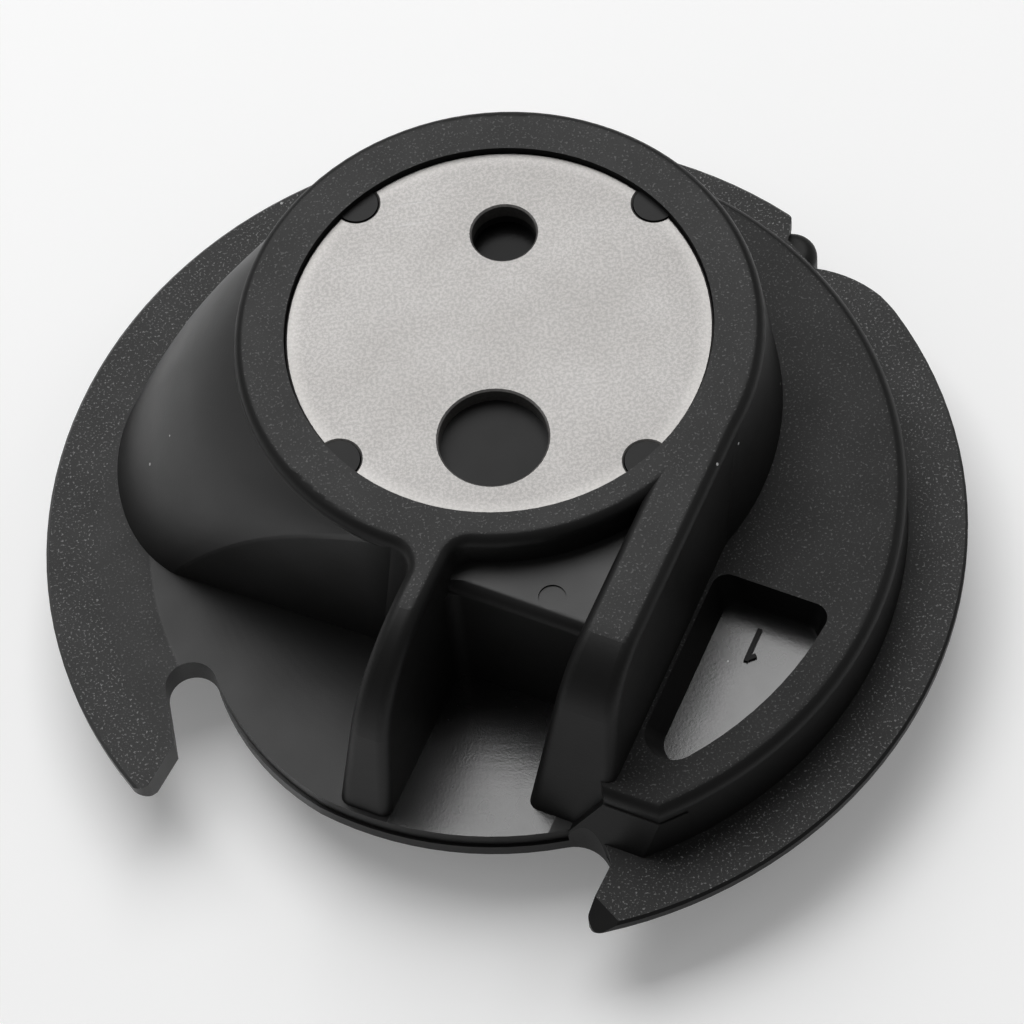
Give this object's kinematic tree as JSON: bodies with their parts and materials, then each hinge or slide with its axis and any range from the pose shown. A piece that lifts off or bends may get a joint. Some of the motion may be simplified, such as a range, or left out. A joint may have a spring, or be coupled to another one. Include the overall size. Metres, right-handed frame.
{
  "type": "bobbin case",
  "caption": "Drop-in bobbin case: a moulded cup on an open race flange with fins and a ledge, a steel base plate, and a leaf spring with its screws.",
  "frame": {"origin": "centre of the race flange, on the face that bears in the race (the flange's upper face as the case lies, open side down)", "axes": "+Z along the hook's axis, out of the steel base plate; -Y towards the front cutaway between the two horns; +X towards the ledge"},
  "size_m": [0.04, 0.0399, 0.0135],
  "materials": {
    "case_plastic": "satin black moulded plastic",
    "plate_steel": "matte rolled steel",
    "spring_steel": "bright spring steel",
    "screw_steel": "plated screw",
    "insert_brass": "turned brass"
  },
  "bodies": {
    "case": {"case_body": "case_plastic", "base_plate": "plate_steel", "spring_screw": "screw_steel", "tension_screw_insert": "insert_brass", "spring_screw_insert": "insert_brass"},
    "leaf": {"tension_spring": "spring_steel"},
    "adjuster": {"tension_screw": "screw_steel"}
  },
  "joints": [
    {"name": "leaf_lift", "type": "hinge", "parent": "case", "child": "leaf", "pos_m": [0.00534, 0.01648, 0.0025], "axis": [0, 0, -1], "range_deg": [0, 1.3], "stiffness_Nm_per_rad": 0.3},
    {"name": "tension_screw_turn", "type": "hinge", "parent": "case", "child": "adjuster", "pos_m": [0.00003, 0.01648, 0.0025], "axis": [0, 1, 0], "range_deg": [-180, 180]}
  ]
}
